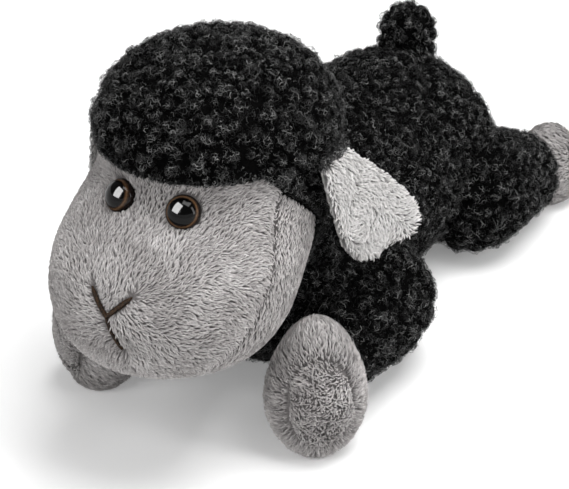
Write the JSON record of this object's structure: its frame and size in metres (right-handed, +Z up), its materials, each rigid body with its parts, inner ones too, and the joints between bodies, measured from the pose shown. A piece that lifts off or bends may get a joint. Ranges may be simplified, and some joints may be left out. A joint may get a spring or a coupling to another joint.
{
  "type": "plush sheep",
  "caption": "Lying plush sheep with curly black fleece, grey plush face, hanging ears, stuffed legs with sole panels and a stub tail.",
  "frame": {"origin": "under the middle of the toy, on the surface it lies on", "axes": "+Z up, -Y the way the sheep looks, +X its left side"},
  "size_m": [0.1272, 0.2926, 0.1455],
  "materials": {
    "fleece": "black curly fleece cloth",
    "plush": "grey short-pile plush",
    "sole_plush": "grey short-pile plush, whorled",
    "ear_plush": "light grey long-nap plush",
    "stuffing": "loose polyester fibre",
    "thread": "embroidery thread",
    "eye": "polished amber and black",
    "washer": "moulded"
  },
  "bodies": {
    "body": {"body_back_fleece": "fleece", "body_belly_fleece": "fleece", "body_stuffing": "stuffing"},
    "tail": {"tail_fleece": "fleece", "tail_stuffing": "stuffing"},
    "head": {"face": "plush", "throat_band": "plush", "head_cap": "fleece", "head_stuffing": "stuffing", "eye_left": "eye", "eye_right": "eye", "washer_left": "washer", "washer_right": "washer", "nose_stitch": "thread", "mouth_stitch": "thread"},
    "ear_left": {"ear_left_back": "ear_plush", "ear_left_front": "ear_plush"},
    "ear_right": {"ear_right_back": "ear_plush", "ear_right_front": "ear_plush"},
    "front_leg_left": {"front_left_sleeve": "fleece", "front_left_foot": "plush", "front_left_sole": "sole_plush", "front_left_stuffing": "stuffing"},
    "hind_leg_left": {"hind_left_sleeve": "fleece", "hind_left_foot": "plush", "hind_left_sole": "sole_plush", "hind_left_stuffing": "stuffing"},
    "front_leg_right": {"front_right_sleeve": "fleece", "front_right_foot": "plush", "front_right_sole": "sole_plush", "front_right_stuffing": "stuffing"},
    "hind_leg_right": {"hind_right_sleeve": "fleece", "hind_right_foot": "plush", "hind_right_sole": "sole_plush", "hind_right_stuffing": "stuffing"}
  },
  "joints": [
    {"name": "head_nod", "type": "hinge", "parent": "body", "child": "head", "pos_m": [0, -0.03705, 0.046], "axis": [-1, 0, 0], "range_deg": [-5, 12], "stiffness_Nm_per_rad": 0.6},
    {"name": "tail_wag", "type": "hinge", "parent": "body", "child": "tail", "pos_m": [0, 0.08695, 0.07], "axis": [1, 0, 0], "range_deg": [-20, 20], "stiffness_Nm_per_rad": 0.02},
    {"name": "ear_left_lift", "type": "hinge", "parent": "head", "child": "ear_left", "pos_m": [0.04298, -0.06805, 0.11], "axis": [0, -1, 0], "range_deg": [0, 75], "stiffness_Nm_per_rad": 0.006},
    {"name": "front_leg_left_splay", "type": "hinge", "parent": "body", "child": "front_leg_left", "pos_m": [0.038, -0.01905, 0.027], "axis": [0, 0, 1], "range_deg": [0, 20], "stiffness_Nm_per_rad": 0.15},
    {"name": "hind_leg_left_splay", "type": "hinge", "parent": "body", "child": "hind_leg_left", "pos_m": [0.036, 0.07895, 0.027], "axis": [0, 0, -1], "range_deg": [0, 16], "stiffness_Nm_per_rad": 0.15},
    {"name": "ear_right_lift", "type": "hinge", "parent": "head", "child": "ear_right", "pos_m": [-0.04298, -0.06805, 0.11], "axis": [0, 1, 0], "range_deg": [0, 75], "stiffness_Nm_per_rad": 0.006},
    {"name": "front_leg_right_splay", "type": "hinge", "parent": "body", "child": "front_leg_right", "pos_m": [-0.038, -0.01905, 0.027], "axis": [0, 0, -1], "range_deg": [0, 20], "stiffness_Nm_per_rad": 0.15},
    {"name": "hind_leg_right_splay", "type": "hinge", "parent": "body", "child": "hind_leg_right", "pos_m": [-0.036, 0.07895, 0.027], "axis": [0, 0, 1], "range_deg": [0, 16], "stiffness_Nm_per_rad": 0.15}
  ]
}
